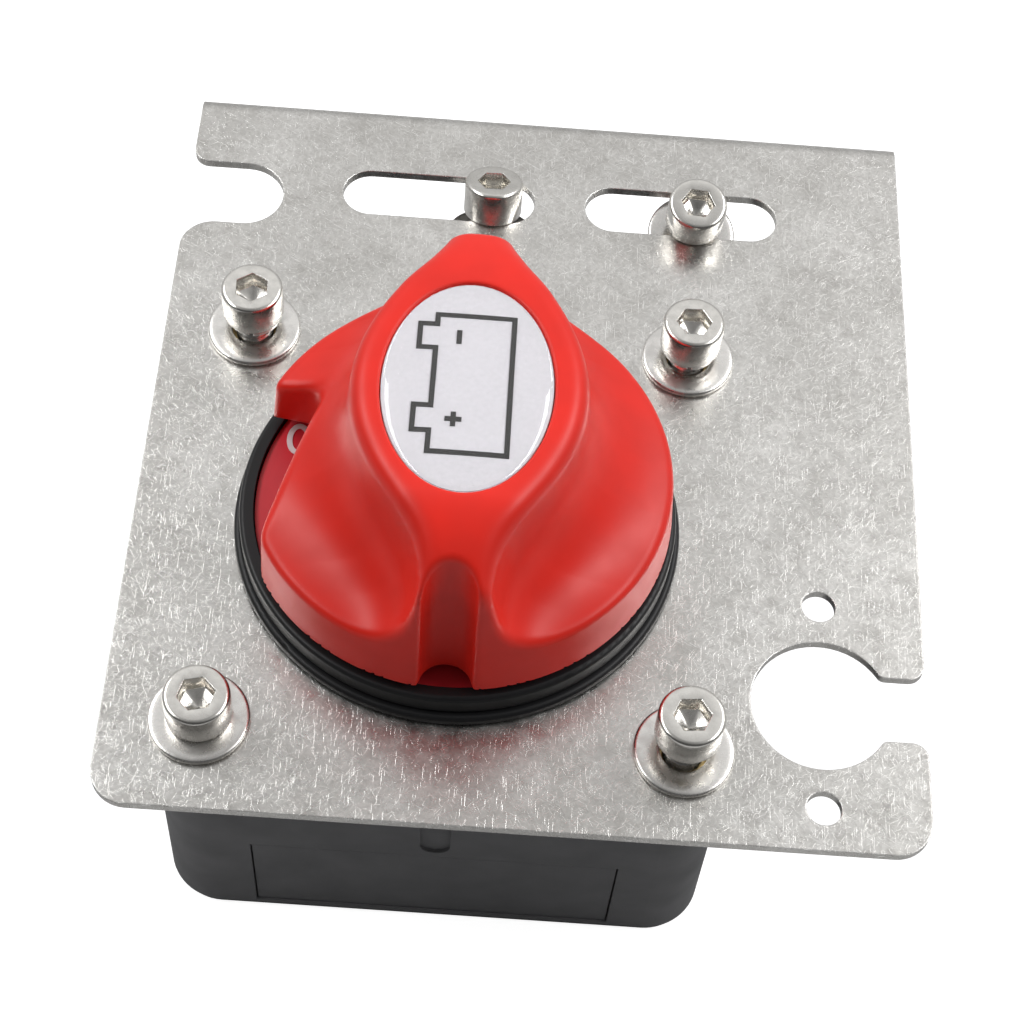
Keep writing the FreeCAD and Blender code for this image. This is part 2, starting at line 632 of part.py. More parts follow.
def crown(base):
    """The space under the handle's ridge: level round the label, then falling to the tip and the front."""
    level = size("label_length") / 2 + size("label_margin")
    back = falling_arc(1, level, size("tip_fall"))
    front = falling_arc(-1, level, size("front_fall"))
    low = [Vector(-2 * size("skirt_radius"), side * size("skirt_radius"), base) for side in (1, -1)]
    outline = Part.makePolygon([back.Vertexes[-1].Point, *low, front.Vertexes[-1].Point])
    ridge = Part.makeLine(back.Vertexes[0].Point, front.Vertexes[0].Point)
    wire = Part.Wire(Part.__sortEdges__([back, front, ridge, *outline.Edges]))
    return Part.Face(wire).extrude(Vector(4 * size("skirt_radius"), 0, 0))


def polar(radius, angle, height):
    """A point at a radius and an angle in degrees from +X."""
    turn = math.radians(angle)
    return Vector(radius * math.cos(turn), radius * math.sin(turn), height)


def window_prism(grow_by, base):
    """The cut in the skirt's left side that shows the dial, grown for the wall round it."""
    reach, top = 2 * size("skirt_radius"), size("window_top") + grow_by
    elbow = Vector(grow_by - size("window_inner"), top, base)
    outer = Vector(-reach, top, base)
    bend = Vector(grow_by - size("window_bend"), 0, base)
    end = polar(size("skirt_radius") - grow_by, size("window_end"), base)
    far = polar(reach, size("window_end"), base)
    edges = [Part.makeLine(outer, elbow), Part.Arc(elbow, bend, end).toShape(), Part.makeLine(end, far),
             Part.makeLine(far, outer)]
    return Part.Face(Part.Wire(edges)).extrude(Vector(0, 0, size("knob_height")))


def front_groove(radius):
    """A round bar that leans inward as it rises up the knob's front."""
    foot = Vector(0, -size("skirt_radius"), size("plate_top") + size("knob_gap"))
    groove = Part.makeCylinder(radius, 2 * size("knob_height"), foot - Vector(0, 0, size("knob_gap")))
    groove.rotate(foot, Vector(1, 0, 0), -size("groove_lean"))
    return groove


def knob_body(base):
    """The knob's outside: a shallow skirt with the handle standing on it."""
    bottom, rim = base + size("knob_gap"), base + size("rim_height")
    skirt_radius, rim_radius, top = size("skirt_radius"), size("rim_radius"), base + size("knob_height")
    skirt = turned([(0, bottom), (skirt_radius, bottom), (rim_radius, rim - size("rim_round")),
                    (rim_radius - size("rim_round"), rim), (size("dome_foot"), rim + size("dome_lift")),
                    (0, base + size("dome_height"))])
    envelope = turned([(0, bottom), (skirt_radius, bottom), (rim_radius, rim), (size("top_radius"), top),
                       (0, top)])
    return skirt.fuse(handle_solid(base).common(envelope).common(crown(base)))


def knob_cavity(base):
    """The moulded hollow under the skirt, round the hub and clear of the window and the groove."""
    bottom, wall, height = base + size("knob_gap"), size("skirt_wall"), size("cavity_height")
    hollow = Part.makeCylinder(size("rim_radius") - wall, height - size("knob_gap"), Vector(0, 0, bottom))
    hub = Part.makeCylinder(size("hub_radius"), height, Vector(0, 0, bottom))
    groove_wall = front_groove(size("groove_radius") + wall)
    return hollow.cut([hub, window_prism(wall, base), groove_wall])


def knob():
    base, seat = size("plate_top"), value(LABEL_SEAT)
    spigot = size("spigot_width") / 2 + size("spigot_gap")
    spigot_top = value(f"{COLLAR_BASE} + lip_top + spigot_length + slide_gap")
    bottom, head_height = base + size("knob_gap"), size("knob_screw_head_height")
    socket = Part.makeBox(2 * spigot, 2 * spigot, spigot_top - bottom, Vector(-spigot, -spigot, bottom))
    recess = label_oval(size("label_gap"), seat, size("knob_height"))
    head = Part.makeCylinder(size("knob_screw_head") + size("label_gap"), head_height,
                             Vector(0, 0, seat - head_height))
    bore = Part.makeCylinder(size("knob_screw_radius") + size("label_gap"), seat - spigot_top,
                             Vector(0, 0, spigot_top))
    feature = doc.addObject("Part::Feature", "knob")
    feature.Shape = knob_body(base).cut([knob_cavity(base), window_prism(0, base),
                                         front_groove(size("groove_radius")), socket, recess, head, bore])
    return keep(feature, "knob")


def label_oval(grow_by, bottom, height):
    """An upright oval prism of the label's size, grown all round."""
    across, along = size("label_width") / 2 + grow_by, size("label_length") / 2 + grow_by
    middle = Vector(size("label_shift_x"), size("label_shift_y"), bottom)
    oval = Part.Ellipse(middle + Vector(0, along, 0), middle + Vector(across, 0, 0), middle)
    return Part.Face(Part.Wire([oval.toShape()])).extrude(Vector(0, 0, height))


def label_plate():
    keep(raised_ellipse("label_width / 2", "label_length / 2", "label_thick",
                        ("label_shift_x", "label_shift_y", LABEL_SEAT)), "label_plate")


def label_dome():
    """The clear resin cap: the upper half of a flat ellipsoid."""
    middle = ("label_shift_x", "label_shift_y", f"{LABEL_TOP} + print_thick")
    dome = solid("Ellipsoid", middle, Radius1="dome_rise", Radius2="label_width / 2",
                 Radius3="label_length / 2", Angle1="0", Angle2="90")
    keep(dome, "label_dome")


def label_print():
    """A plain battery outline with two posts, a bar and a cross, lying flat on the label."""
    half_wide, half_long = "symbol_width / 2", "symbol_length / 2"
    stroke = "symbol_stroke"

    def mark(left, right, low, high):
        return solid("Box", (left, low, LABEL_TOP), Length=f"{right} - ({left})",
                     Width=f"{high} - ({low})", Height="print_thick")

    def frame(left, right, low, high):
        inner = mark(f"{left} + {stroke}", f"{right} - {stroke}", f"{low} + {stroke}", f"{high} - {stroke}")
        return cut(mark(left, right, low, high), inner)

    left = f"symbol_shift_x - {half_wide}"
    outline = [frame(left, f"symbol_shift_x + {half_wide}", f"symbol_shift_y - {half_long}",
                     f"symbol_shift_y + {half_long}")]
    openings = []
    for side in ("-1", "1"):
        middle = f"pole_middle + {side} * pole_spacing / 2"
        low, high = f"{middle} - pole_width / 2", f"{middle} + pole_width / 2"
        outline.append(frame(f"{left} - pole_length", f"{left} + {stroke}", low, high))
        openings.append(mark(left, f"{left} + {stroke}", f"{low} + {stroke}", f"{high} - {stroke}"))
    battery = cut(fuse(*outline), fuse(*openings))
    signs_x = f"{left} + sign_inset"
    arm = "pole_length / 2"
    minus = mark(f"{signs_x} - {stroke} / 2", f"{signs_x} + {stroke} / 2",
                 f"pole_middle + pole_spacing / 2 - {arm}", f"pole_middle + pole_spacing / 2 + {arm}")
    plus_y = "pole_middle - pole_spacing / 2"
    upright_arm = mark(f"{signs_x} - {stroke} / 2", f"{signs_x} + {stroke} / 2", f"{plus_y} - {arm}",
                       f"{plus_y} + {arm}")
    level_arm = mark(f"{signs_x} - {arm}", f"{signs_x} + {arm}", f"{plus_y} - {stroke} / 2",
                     f"{plus_y} + {stroke} / 2")
    group("label_print", [battery, minus, fuse(upright_arm, level_arm)])


def knob_screw():
    head = cylinder("knob_screw_head", "knob_screw_head_height - print_thick",
                    ("0", "0", f"{LABEL_SEAT} - knob_screw_head_height"))
    shank = cylinder("knob_screw_radius", "knob_screw_length",
                     ("0", "0", f"{LABEL_SEAT} - knob_screw_head_height - knob_screw_length"))
    keep(fuse(head, shank), "knob_screw")


# Fasteners

def prism(flats, height, position):
    """A hexagonal bar measured across its flats."""
    return solid("Prism", position, Circumradius=f"{flats} / 2 / cos(30)", Height=height)


def hex_nut(flats, bore, height, position):
    return cut(prism(flats, height, position), cylinder(bore, height, position))


def split_ring(outer, inner, height, position):
    """A spring washer with its cut at the front."""
    x, y, z = position
    gap = solid("Box", (f"{x} - lock_split / 2", f"{y} - {outer}", z), Length="lock_split", Width=outer,
                Height=height)
    return cut(ring(outer, inner, height, position), gap)


def cap_screw():
    """A socket cap screw whose origin is the middle of the head's underside."""
    body = new_body("cap_screw")
    profile = polygon(body, "XZ", [
        ("0", "-screw_length"), ("shank_radius - head_chamfer", "-screw_length"),
        ("shank_radius", "head_chamfer - screw_length"), ("shank_radius", "0"), ("head_radius", "0"),
        ("head_radius", "head_height - head_chamfer"), ("head_radius - head_chamfer", "head_height"),
        ("0", "head_height")])
    spin(body, "Revolution", profile)
    corner = "(hex_flats / 2 / cos(30))"
    hexagon = [(f"{corner} * cos({60 * step})", f"{corner} * sin({60 * step})") for step in range(6)]
    grow(body, "Pocket", polygon(body, "XY", hexagon, "head_height"), "hex_depth")
    return body


def place(screw, position, lean=0.0):
    """Stand a piece at a place given by formulas, leaning back from the front by some degrees."""
    screw.Placement.Rotation = Rotation(Vector(1, 0, 0), -lean)
    for letter, text in zip("xyz", position):
        screw.setExpression("Placement.Base." + letter, formula(text))
    return screw


# Each corner screw: its side in X and Y, how high its head stands off the plate, and a lock washer or not.
CORNER_SCREWS = [("-1", "1", "lift_back_left", True), ("1", "1", "lift_back_right", True),
                 ("-1", "-1", "washer_thick", False), ("1", "-1", "lift_front_right", False)]


def corner_fasteners():
    screws, washers, locks = [], [], []
    for x, y, lift, locked in CORNER_SCREWS:
        spot = (f"{x} * {HALF_SCREWS}", f"{y} * {HALF_SCREWS}")
        screws.append(place(cap_screw(), spot + (f"plate_top + {lift}",)))
        slipped = (spot[0], f"{spot[1]} - washer_slip", "plate_top")
        washers.append(ring("washer_radius", "washer_bore", "washer_thick", slipped))
        if locked:
            locks.append(split_ring("lock_radius", "shank_radius + stud_gap", "lock_thick",
                                    spot + (f"plate_top + {lift} - lock_thick",)))
    group("corner_screws", screws)
    group("corner_washers", washers)
    group("corner_lock_washers", locks)


def slot_fasteners():
    """Two loose screws that lean in the slots, each with a washer and a nut below the plate."""
    screws, washers, nuts = [], [], []
    for side in ("left", "right"):
        spot = (f"{side}_screw_x", f"{side}_screw_y", f"plate_top + {side}_screw_lift")
        lean = size(f"{side}_screw_lean")
        screws.append(place(cap_screw(), spot, lean))
        low = "-1 * slot_washer_drop - washer_thick"
        washer = ring("washer_radius", "washer_bore", "washer_thick", ("0", "0", low))
        nut = hex_nut("nut_flats", "shank_radius", "nut_height", ("0", "0", f"{low} - nut_height"))
        washers.append(place(washer, spot, lean))
        nuts.append(place(nut, spot, lean))
    group("slot_screws", screws)
    group("slot_washers", washers)
    group("slot_nuts", nuts)


def write_parts():
    os.makedirs("parts", exist_ok=True)
    for piece in doc.Objects:
        if "Invalid" in piece.State or "Error" in piece.State:
            raise RuntimeError(f"{piece.Name} ({piece.Label}) did not compute")
    for node in nodes:
        if node.Shape.isNull() or not node.Shape.isValid() or not node.Shape.Solids:
            raise RuntimeError(f"{node.Label} is not a good solid")
        node.Shape.exportStep(f"parts/{node.Label}.step")


mounting_plate()
base_housing()
back_cover()
knockout_panels()
threaded_inserts()
top_collar()
collar_gasket()
dial_disc()
dial_marks()
rotor_shaft()
shaft_seal()
contact_bridge()
contact_spring()
terminal_studs()
terminal_hardware()
knob()
label_plate()
label_print()
label_dome()
knob_screw()
corner_fasteners()
slot_fasteners()
doc.recompute()
write_parts()
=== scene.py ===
import bpy
import math
import numpy as np
from mathutils import Matrix, Vector


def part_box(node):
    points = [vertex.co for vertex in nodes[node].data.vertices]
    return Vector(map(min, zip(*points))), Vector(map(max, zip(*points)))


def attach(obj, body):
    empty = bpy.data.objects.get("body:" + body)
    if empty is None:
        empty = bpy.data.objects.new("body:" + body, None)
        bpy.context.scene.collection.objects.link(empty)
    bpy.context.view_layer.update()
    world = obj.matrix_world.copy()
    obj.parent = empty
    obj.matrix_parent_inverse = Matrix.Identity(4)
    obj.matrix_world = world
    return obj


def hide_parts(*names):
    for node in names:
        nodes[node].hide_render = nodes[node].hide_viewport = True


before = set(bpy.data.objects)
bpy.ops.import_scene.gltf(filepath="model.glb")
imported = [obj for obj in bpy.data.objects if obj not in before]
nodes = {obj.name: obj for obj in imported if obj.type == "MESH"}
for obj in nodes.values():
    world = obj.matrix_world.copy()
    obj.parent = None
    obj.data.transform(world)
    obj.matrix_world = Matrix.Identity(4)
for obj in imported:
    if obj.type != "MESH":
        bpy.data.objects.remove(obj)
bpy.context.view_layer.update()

MM = 0.001
PLATE_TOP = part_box("mounting_plate")[1].z / MM
SKIRT_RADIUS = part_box("knob")[1].x / MM
KNOB_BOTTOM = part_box("knob")[0].z / MM
LABEL_LOW, LABEL_HIGH = (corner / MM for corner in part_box("label_plate"))


# Shader nodes

def add(tree, kind, settings=None, **feeds):
    """Make a shader node and feed its inputs, by name, with values or with other nodes' outputs."""
    made = tree.nodes.new(kind)
    for name, setting in (settings or {}).items():
        setattr(made, name, setting)
    for name, feed in feeds.items():
        connect(tree, feed, made.inputs[name.replace("_", " ")])
    return made


def connect(tree, feed, socket):
    """Feed a socket with another node's output, or set it to a value."""
    if isinstance(feed, bpy.types.NodeSocket):
        tree.links.new(feed, socket)
    else:
        socket.default_value = feed


def maths(tree, operation, first, second=0.0):
    """One sum on two values."""
    made = tree.nodes.new("ShaderNodeMath")
    made.operation = operation
    connect(tree, first, made.inputs[0])
    connect(tree, second, made.inputs[1])
    return made.outputs[0]


def spread(tree, feed, from_low, from_high, to_low, to_high):
    """Map one range of values onto another, held at its ends."""
    made = tree.nodes.new("ShaderNodeMapRange")
    for socket, part in zip(made.inputs, (feed, from_low, from_high, to_low, to_high)):
        connect(tree, part, socket)
    return made.outputs[0]


def mix(tree, share, first, second):
    """Mix two colours."""
    made = tree.nodes.new("ShaderNodeMix")
    made.data_type = "RGBA"
    connect(tree, share, made.inputs["Factor"])
    connect(tree, first, made.inputs[6])
    connect(tree, second, made.inputs[7])
    return made.outputs[2]


def place(tree, turn=(0, 0, 0), stretch=(1, 1, 1)):
    """The point being shaded, in millimetres of the object's own frame, turned and then stretched."""
    spot = add(tree, "ShaderNodeTexCoord").outputs["Object"]
    turned = add(tree, "ShaderNodeMapping", Vector=spot, Rotation=turn)
    return add(tree, "ShaderNodeMapping", Vector=turned.outputs[0],
               Scale=tuple(share / MM for share in stretch)).outputs[0]


def noise(tree, grain, detail=2.0, **spot):
    """Noise from 0 to 1 whose blotches are about grain millimetres wide."""
    return add(tree, "ShaderNodeTexNoise", Vector=place(tree, **spot), Scale=1 / grain,
               Detail=detail).outputs["Fac"]


def bump(tree, height, depth, under=None):
    """A bump map whose full range is depth millimetres deep."""
    made = add(tree, "ShaderNodeBump", Height=height, Distance=depth * MM, Strength=1.0)
    if under is not None:
        tree.links.new(under, made.inputs["Normal"])
    return made.outputs["Normal"]


def eased_edges(tree, radius):
    """The surface direction with every edge rounded, and a mask that is 1 on those edges."""
    rounded = add(tree, "ShaderNodeBevel", {"samples": 4}, Radius=radius * MM).outputs[0]
    plain = add(tree, "ShaderNodeNewGeometry").outputs["Normal"]
    likeness = add(tree, "ShaderNodeVectorMath", {"operation": "DOT_PRODUCT"})
    tree.links.new(rounded, likeness.inputs[0])
    tree.links.new(plain, likeness.inputs[1])
    return rounded, spread(tree, likeness.outputs["Value"], 0.995, 0.90, 0.0, 1.0)


def rgb(red, green, blue):
    """An opaque colour."""
    return (red, green, blue, 1.0)


def new_material(name, **feeds):
    """A material with one principled shader, and its node tree."""
    made = bpy.data.materials.new(name)
    made.use_nodes = True
    shader = made.node_tree.nodes["Principled BSDF"]
    finish_shader(made.node_tree, shader, **feeds)
    return made, made.node_tree, shader


def finish_shader(tree, shader, **feeds):
    """Feed a shader's inputs by name."""
    for socket, feed in feeds.items():
        connect(tree, feed, shader.inputs[socket.replace("_", " ")])


# Materials

def scratches(tree, angles, length, width, rarity):
    """Short thin straight marks in several directions: 1 on a mark, 0 off it."""
    marks = 0.0
    for index, angle in enumerate(angles):
        shift = (0, 0, math.radians(angle))
        fine = noise(tree, 1.0, 0.0, turn=shift, stretch=(1 / length, 1 / width, 1 + 0.37 * index))
        line = spread(tree, fine, rarity, rarity + 0.05, 0.0, 1.0)
        marks = maths(tree, "MAXIMUM", line, marks)
    return marks


def stainless_sheet():
    """Tumbled stainless sheet: mottled, finely grained, with random scratches and a painted highlight on its
    deburred edges.
    """
    made, tree, shader = new_material("stainless_sheet", Metallic=1.0)
    blotch = noise(tree, 11.0, 4.0)
    grain = noise(tree, 0.45, 3.0)
    patch = noise(tree, 2.4, 5.0)
    marks = scratches(tree, range(0, 180, 30), 1.8, 0.055, 0.750)
    dents = scratches(tree, range(15, 180, 45), 1.4, 0.07, 0.750)
    rounded, edge = eased_edges(tree, 0.28)
    tone = mix(tree, spread(tree, blotch, 0.30, 0.70, 0.0, 1.0),
               rgb(0.58, 0.565, 0.54), rgb(0.76, 0.745, 0.72))
    tone = mix(tree, spread(tree, grain, 0.30, 0.70, 0.0, 0.50), tone, rgb(0.42, 0.41, 0.39))
    tone = mix(tree, spread(tree, patch, 0.50, 0.68, 0.0, 0.35), tone, rgb(0.40, 0.385, 0.36))
    tone = mix(tree, maths(tree, "MULTIPLY", dents, 0.4), tone, rgb(0.27, 0.26, 0.24))
    # The scratches take this pale colour as marks in the sheet; on the eased edges it is a painted highlight.
    tone = mix(tree, maths(tree, "MAXIMUM", marks, edge), tone, rgb(0.97, 0.96, 0.93))
    rough = spread(tree, noise(tree, 2.2, 3.0), 0.3, 0.7, 0.24, 0.36)
    rough = maths(tree, "SUBTRACT", rough, maths(tree, "MULTIPLY", marks, 0.12))
    relief = maths(tree, "SUBTRACT", grain, maths(tree, "MULTIPLY", marks, 0.8))
    finish_shader(tree, shader, Base_Color=tone, Roughness=rough, Normal=bump(tree, relief, 0.004, rounded))
    return made


def turned_steel(name, colour, roughness):
    """Machined steel with faint tool marks round its upright axis and a painted highlight on its slightly
    rounded edges.
    """
    made, tree, shader = new_material(name, Metallic=1.0)
    rounded, edge = eased_edges(tree, 0.12)
    bands = noise(tree, 0.12, 2.0, stretch=(0.15, 0.15, 1.0))
    patches = noise(tree, 1.5, 3.0)
    dull = tuple(0.78 * part for part in colour[:3]) + (1.0,)
    tone = mix(tree, spread(tree, patches, 0.35, 0.70, 0.0, 0.8), colour, dull)
    # Painted highlight: the eased edges are painted pale.
    tone = mix(tree, edge, tone, rgb(0.92, 0.91, 0.88))
    rough = spread(tree, patches, 0.3, 0.7, roughness * 0.75, roughness * 1.35)
    finish_shader(tree, shader, Base_Color=tone, Roughness=rough, Normal=bump(tree, bands, 0.004, rounded))
    return made


def moulded(name, colour, roughness, grain_depth, edge_highlight=0.0, edge_radius=0.25, gloss=0.5):
    """Moulded plastic: a fine spark-eroded grain, slow waves in the gloss, and eased edges painted paler as a
    painted highlight.
    """
    made, tree, shader = new_material(name, Specular_IOR_Level=gloss)
    rounded, edge = eased_edges(tree, edge_radius)
    grain = noise(tree, 0.22, 2.0)
    waves = noise(tree, 6.0, 2.0)
    darker = tuple(0.86 * part for part in colour[:3]) + (1.0,)
    # Painted highlight: the eased edges are lifted towards white by the given share.
    highlight_tone = tuple(part + edge_highlight * (1 - part) for part in colour[:3]) + (1.0,)
    tone = mix(tree, spread(tree, waves, 0.3, 0.7, 0.0, 0.7), colour, darker)
    tone = mix(tree, maths(tree, "MULTIPLY", edge, 0.6), tone, highlight_tone)
    rough = spread(tree, waves, 0.3, 0.7, roughness * 0.9, roughness * 1.12)
    finish_shader(tree, shader, Base_Color=tone, Roughness=rough,
                  Normal=bump(tree, grain, grain_depth, rounded))
    return made


def printed(name, colour, roughness):
    """Screen print, a little uneven in tone."""
    made, tree, shader = new_material(name)
    tone = mix(tree, noise(tree, 0.5, 3.0), colour, tuple(0.8 * part + 0.004 for part in colour[:3]) + (1.0,))
    finish_shader(tree, shader, Base_Color=tone, Roughness=roughness,
                  Normal=bump(tree, noise(tree, 0.1, 2.0), 0.002))
    return made


def clear_resin():
    """A clear doming resin that lets light reach the label under it."""
    made, tree, shader = new_material("clear_resin", Base_Color=rgb(1.0, 1.0, 1.0), IOR=1.46)
    finish_shader(tree, shader, Transmission_Weight=1.0,
                  Roughness=spread(tree, noise(tree, 3.0, 2.0), 0.3, 0.7, 0.02, 0.035))
    passing = add(tree, "ShaderNodeLightPath").outputs["Is Shadow Ray"]
    clear = add(tree, "ShaderNodeBsdfTransparent").outputs[0]
    both = tree.nodes.new("ShaderNodeMixShader")
    tree.links.new(passing, both.inputs[0])
    tree.links.new(shader.outputs[0], both.inputs[1])
    tree.links.new(clear, both.inputs[2])
    tree.links.new(both.outputs[0], tree.nodes["Material Output"].inputs["Surface"])
    return made


MATERIALS = {
    "sheet": stainless_sheet(),
    "fastener": turned_steel("stainless_fastener", rgb(0.78, 0.76, 0.72), 0.22),
    "washer": turned_steel("stainless_washer", rgb(0.82, 0.80, 0.77), 0.26),
    "tinned": turned_steel("tinned_terminal", rgb(0.72, 0.71, 0.68), 0.32),
    "spring": turned_steel("spring_wire", rgb(0.50, 0.50, 0.50), 0.25),
    "copper": turned_steel("bare_copper", rgb(0.78, 0.40, 0.25), 0.30),
    "brass": turned_steel("turned_brass", rgb(0.76, 0.58, 0.28), 0.25),
    "red": moulded("red_plastic", rgb(0.79, 0.022, 0.012), 0.38, 0.006, 0.04, gloss=0.32),
    "dial": moulded("dial_red_plastic", rgb(0.60, 0.022, 0.035), 0.42, 0.006),
    "housing": moulded("housing_black_plastic", rgb(0.125, 0.125, 0.130), 0.52, 0.010, 0.03, gloss=0.35),
    "collar": moulded("collar_black_plastic", rgb(0.012, 0.012, 0.013), 0.40, 0.006, 0.04, 0.15, gloss=0.3),
    "rubber": moulded("black_rubber", rgb(0.018, 0.018, 0.018), 0.72, 0.02),
    "label": printed("label_white", rgb(0.45, 0.437, 0.463), 0.4),
    "ink": printed("label_ink", rgb(0.004, 0.003, 0.002), 0.5),
    "white_ink": printed("dial_ink", rgb(0.80, 0.76, 0.76), 0.5),
    "resin": clear_resin(),
}

FINISHES = {
    "mounting_plate": "sheet", "base_housing": "housing", "back_cover": "housing",
    "knockout_panel_front": "housing", "knockout_panel_right": "housing",
    "knockout_panel_rear": "housing", "knockout_panel_left": "housing",
    "threaded_inserts": "brass", "top_collar": "collar", "collar_gasket": "rubber",
    "dial_disc": "dial", "dial_marks": "white_ink", "shaft_seal": "rubber",
    "rotor_shaft": "housing", "knob": "red", "knob_screw": "fastener", "label_plate": "label",
    "label_print": "ink", "label_dome": "resin", "contact_spring": "spring",
    "contact_bridge": "copper", "terminal_stud_left": "tinned", "terminal_stud_right": "tinned",
    "terminal_washers": "tinned", "terminal_lock_washers": "tinned", "terminal_nuts": "tinned",
    "corner_screws": "fastener", "corner_washers": "washer", "corner_lock_washers": "washer",
    "slot_screws": "fastener", "slot_washers": "washer", "slot_nuts": "fastener",
}


def wear(piece, finish):
    """Give an object one material in all its slots."""
    if not piece.material_slots:
        piece.data.materials.append(MATERIALS[finish])
    for slot in piece.material_slots:
        slot.material = MATERIALS[finish]


for node_name, finish in FINISHES.items():
    wear(nodes[node_name], finish)


# Knob: one field that is negative inside it, meshed as a whole. Sizes are in millimetres, and
# HANDLE_HALF_WIDTHS pairs a place along the handle with its half width there.

HANDLE_MIDDLE = 0.5
HANDLE_HALF_WIDTHS = ((-27.0, 3.8), (-22.0, 3.8), (-19.0, 4.8), (-15.0, 7.4), (-10.5, 10.4), (-5.0, 12.8),
                      (0.0, 13.6), (5.0, 13.2), (10.0, 11.6), (15.0, 8.9), (20.0, 5.5), (24.0, 3.6),
                      (29.0, 3.0))
SKIRT_LEAN = 0.083
SKIRT_FOOT = 6.2
RIM_HEIGHT = 13.4
SKIRT_CROWN = 2.0
RIDGE_HEIGHT = 30.4
HANDLE_FLARE = 0.012
TIP_START, TIP_RUN, TIP_DROP = 14.9, 9.2, 2.3
FRONT_START, FRONT_RUN, FRONT_DROP = 14.3, 7.3, 3.0
FALL_POWER = 1.7
WINDOW_LEAN = 9.0
WINDOW_WALL_X, WINDOW_WALL_Y = -17.0, 8.8
WINDOW_ARC_X, WINDOW_ARC_Y, WINDOW_ARC_RADIUS = 126.2, -48.6, 153.8
GROOVE_LEAN = 4.8
GROOVE_RADIUS = 3.1
HOLLOW_INNER = 9.5
HOLLOW_OUTER = 23.3
HOLLOW_TOP = 11.4
SHELL_WALL = 2.0
LABEL_GAP = 0.12
RIDGE_ROUND = 2.6
RIM_ROUND = 1.0
GROOVE_ROUND = 0.7
WINDOW_ROUND = 1.3
WINDOW_CORNER = 3.4
SEAT_ROUND = 0.35


def eased_min(first, second, blend):
    """The lower of two fields, with the crease between them rounded."""
    share = np.clip(0.5 + 0.5 * (second - first) / blend, 0, 1)
    return second * (1 - share) + first * share - blend * share * (1 - share)


def eased_max(first, second, blend):
    """The higher of two fields, with the crease between them rounded."""
    return -eased_min(-first, -second, blend)


def through_points(knots, places):
    """A smooth curve through the knots, by Catmull-Rom slopes."""
    at, level = np.array(knots, float).T
    slope = np.gradient(level, at)
    index = np.clip(np.searchsorted(at, places) - 1, 0, len(at) - 2)
    gap = at[index + 1] - at[index]
    share = np.clip((places - at[index]) / gap, 0, 1)
    rise = level[index] * (1 + 2 * share) * (1 - share) ** 2
    rise += level[index + 1] * (3 - 2 * share) * share ** 2
    rise += gap * slope[index] * share * (1 - share) ** 2
    return rise - gap * slope[index + 1] * (1 - share) * share ** 2


def ridge_level(along):
    """The height of the handle's top: level under the label, falling to the tip and the front."""
    tip_fall = TIP_DROP * (np.clip(along - TIP_START, 0, None) / TIP_RUN) ** FALL_POWER
    front_fall = FRONT_DROP * (np.clip(-FRONT_START - along, 0, None) / FRONT_RUN) ** FALL_POWER
    return RIDGE_HEIGHT - tip_fall - front_fall


def window_field(across, along):
    """Negative in the notch on the skirt's left, between a wall across it and a long arc to the rim."""
    lean = math.radians(WINDOW_LEAN)
    wall = (along - WINDOW_WALL_Y) * math.cos(lean) + (across - WINDOW_WALL_X) * math.sin(lean)
    arc = WINDOW_ARC_RADIUS - np.hypot(across - WINDOW_ARC_X, along - WINDOW_ARC_Y)
    return eased_max(arc, wall, WINDOW_CORNER)


def groove_field(across, along, height):
    """Negative in the groove down the knob's front, which leans back as it rises."""
    lean = math.radians(GROOVE_LEAN)
    axis = -SKIRT_RADIUS + (height - SKIRT_FOOT) * math.tan(lean)
    return np.hypot(across, (along - axis) * math.cos(lean)) - GROOVE_RADIUS


def knob_field(points):
    """Roughly the distance outside the knob, in millimetres; heights are from the plate."""
    across, along, height = np.moveaxis(points, -1, 0)
    reach = np.hypot(across, along)
    wall = reach - (SKIRT_RADIUS - SKIRT_LEAN * (height - SKIRT_FOOT))
    dome = height - (RIM_HEIGHT + SKIRT_CROWN * (1 - (reach / SKIRT_RADIUS) ** 2))

    half = through_points(HANDLE_HALF_WIDTHS, along)
    slant = (through_points(HANDLE_HALF_WIDTHS, along + 0.1) - half) / 0.1
    flare = HANDLE_FLARE * np.clip(RIDGE_HEIGHT - height, 0, None) ** 2
    side = (np.abs(across - HANDLE_MIDDLE) - half - flare) / np.sqrt(1 + slant ** 2)
    handle = eased_max(side, height - ridge_level(along), RIDGE_ROUND)
    cove = np.interp(along, (-25.0, -5.0), (5.0, 10.0))
    body = eased_min(handle, dome, cove)
    body = eased_max(body, wall, RIM_ROUND)
    body = np.maximum(body, KNOB_BOTTOM - PLATE_TOP - height)

    groove, window = groove_field(across, along, height), window_field(across, along)
    body = eased_max(body, -groove, GROOVE_ROUND)
    body = eased_max(body, -window, WINDOW_ROUND)
    hollow = np.maximum(reach - HOLLOW_OUTER, height - HOLLOW_TOP)
    hollow = np.maximum(hollow, HOLLOW_INNER - reach)
    hollow = np.maximum(hollow, SHELL_WALL - groove)
    hollow = np.maximum(hollow, SHELL_WALL - window)
    body = np.maximum(body, -hollow)

    seat = LABEL_LOW.z - PLATE_TOP
    middle, half_label = (LABEL_LOW + LABEL_HIGH) / 2, (LABEL_HIGH - LABEL_LOW) / 2
    oval = np.hypot((across - middle.x) / (half_label.x + LABEL_GAP),
                    (along - middle.y) / (half_label.y + LABEL_GAP))
    oval = (oval - 1) * half_label.x
    return eased_max(body, -np.maximum(oval, seat - height), SEAT_ROUND)


